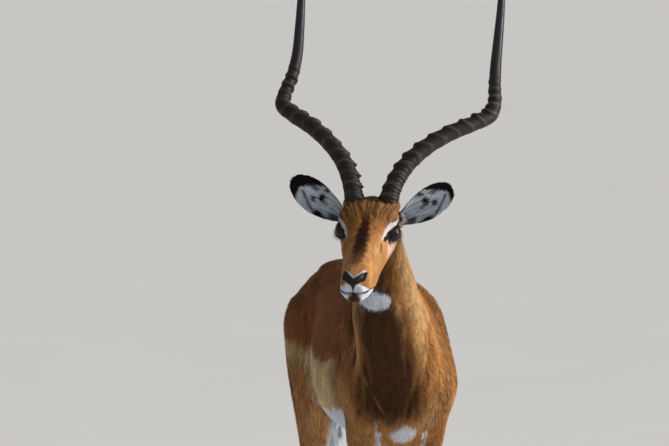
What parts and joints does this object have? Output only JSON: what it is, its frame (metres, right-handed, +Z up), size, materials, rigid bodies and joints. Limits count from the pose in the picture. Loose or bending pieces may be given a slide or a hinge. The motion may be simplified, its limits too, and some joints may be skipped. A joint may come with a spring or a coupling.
{
  "type": "impala antelope",
  "caption": "Life-size male impala antelope standing square, head turned to its right, with ringed lyre-shaped horns, slender legs and cloven hooves.",
  "frame": {"origin": "middle of the bounding box at floor level, under the belly", "axes": "+Z up, +X towards the animal's left side, -Y the way the body faces"},
  "size_m": [0.4779, 1.2834, 1.6394],
  "materials": {
    "coat": "short fur",
    "white_coat": "short fur",
    "eye": "wet gloss",
    "horn": "ringed horn, satin",
    "hoof": "dark horn, satin"
  },
  "bodies": {
    "root": {"trunk": "coat", "neck": "coat", "head": "coat", "lower_jaw": "white_coat", "ear_left": "white_coat", "ear_right": "white_coat", "eye_left": "eye", "eye_right": "eye", "horn_left": "horn", "horn_right": "horn", "tail": "coat", "foreleg_upper_left": "coat", "foreleg_upper_right": "coat", "hindleg_upper_left": "coat", "hindleg_upper_right": "coat", "foreleg_lower_left": "coat", "foreleg_lower_right": "coat", "hindleg_lower_left": "coat", "hindleg_lower_right": "coat", "forehoof_left_inner": "hoof", "forehoof_left_outer": "hoof", "forehoof_right_inner": "hoof", "forehoof_right_outer": "hoof", "hindhoof_left_inner": "hoof", "hindhoof_left_outer": "hoof", "hindhoof_right_inner": "hoof", "hindhoof_right_outer": "hoof"}
  },
  "joints": []
}
